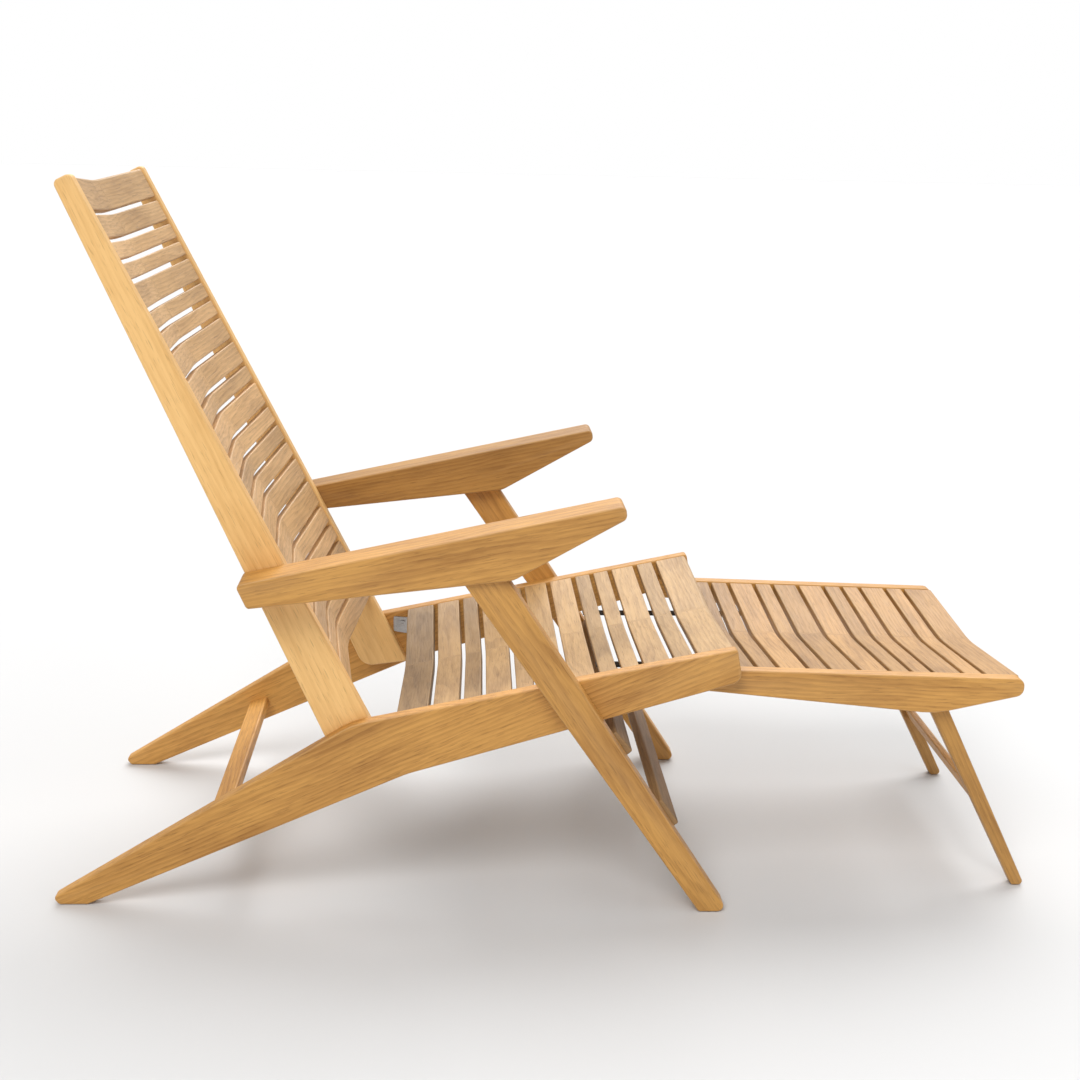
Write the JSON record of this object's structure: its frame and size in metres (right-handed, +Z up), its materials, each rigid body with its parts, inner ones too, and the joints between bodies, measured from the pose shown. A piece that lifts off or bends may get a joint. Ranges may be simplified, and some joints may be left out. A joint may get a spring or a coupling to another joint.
{
  "type": "adirondack deck chair",
  "caption": "Reclined slatted wooden garden lounge chair with flat board armrests and a footrest that pulls out from under the seat on folding legs.",
  "frame": {"origin": "on the ground, below the middle of the chair as it stands with the footrest pulled out", "axes": "+X forward from the back to the feet of the sitter, +Y to the sitter's left, +Z up"},
  "size_m": [1.4569, 0.618, 1.0396],
  "materials": {
    "post_wood": "oiled",
    "arm_wood": "oiled",
    "frame_wood": "oiled",
    "seat_slat_wood": "oiled",
    "back_slat_wood": "oiled",
    "footrest_slat_wood": "oiled",
    "stretcher_wood": "oiled",
    "bolt_steel": "satin",
    "bracket_steel": "satin",
    "dark_steel": "matt"
  },
  "bodies": {
    "frame": {"left_seat_rail": "frame_wood", "right_seat_rail": "frame_wood", "left_front_leg": "frame_wood", "right_front_leg": "frame_wood", "left_armrest": "arm_wood", "right_armrest": "arm_wood", "left_back_post": "post_wood", "right_back_post": "post_wood", "rear_stretcher": "frame_wood", "upper_front_stretcher": "stretcher_wood", "lower_front_stretcher": "stretcher_wood", "seat_slat_01": "seat_slat_wood", "seat_slat_02": "seat_slat_wood", "seat_slat_03": "seat_slat_wood", "seat_slat_04": "seat_slat_wood", "seat_slat_05": "seat_slat_wood", "seat_slat_06": "seat_slat_wood", "seat_slat_07": "seat_slat_wood", "seat_slat_08": "seat_slat_wood", "seat_slat_09": "seat_slat_wood", "seat_slat_10": "seat_slat_wood", "seat_slat_11": "seat_slat_wood", "seat_slat_12": "seat_slat_wood", "back_top_slat": "back_slat_wood", "back_slats_wide": "back_slat_wood", "back_slats_narrow": "back_slat_wood", "rail_post_bolts": "bolt_steel", "arm_post_bolts": "bolt_steel", "leg_rail_bolts": "bolt_steel", "seat_brackets": "bracket_steel", "bracket_screws": "bracket_steel"},
    "guide carriage": {"guide_pins": "bolt_steel"},
    "footrest": {"left_footrest_rail": "frame_wood", "right_footrest_rail": "frame_wood", "footrest_slat_01": "footrest_slat_wood", "footrest_slat_02": "footrest_slat_wood", "footrest_slat_03": "footrest_slat_wood", "footrest_slat_04": "footrest_slat_wood", "footrest_slat_05": "footrest_slat_wood", "footrest_slat_06": "footrest_slat_wood", "footrest_slat_07": "footrest_slat_wood", "footrest_slat_08": "footrest_slat_wood", "footrest_slat_09": "footrest_slat_wood", "footrest_slat_10": "footrest_slat_wood", "footrest_slat_11": "footrest_slat_wood", "footrest_runners": "dark_steel", "runner_screws": "bolt_steel", "leg_pivot_bolts": "bolt_steel"},
    "footrest legs": {"left_footrest_leg": "frame_wood", "right_footrest_leg": "frame_wood", "footrest_leg_stretcher": "frame_wood"}
  },
  "joints": [
    {"name": "footrest_slide", "type": "slide", "parent": "frame", "child": "guide carriage", "axis": [-0.9785, 0, -0.2062], "range_m": [0, 0.42]},
    {"name": "footrest_tilt", "type": "hinge", "parent": "guide carriage", "child": "footrest", "pos_m": [0.22154, 0, 0.34662], "axis": [0, -1, 0], "range_deg": [0, 14.5]},
    {"name": "footrest_leg_fold", "type": "hinge", "parent": "footrest", "child": "footrest legs", "pos_m": [0.56024, 0, 0.31362], "axis": [0, 1, 0], "range_deg": [0, 118]}
  ],
  "couplings": [
    {"joint": "footrest_tilt", "follows": "footrest_slide", "rad_per_m": 0.60255}
  ]
}
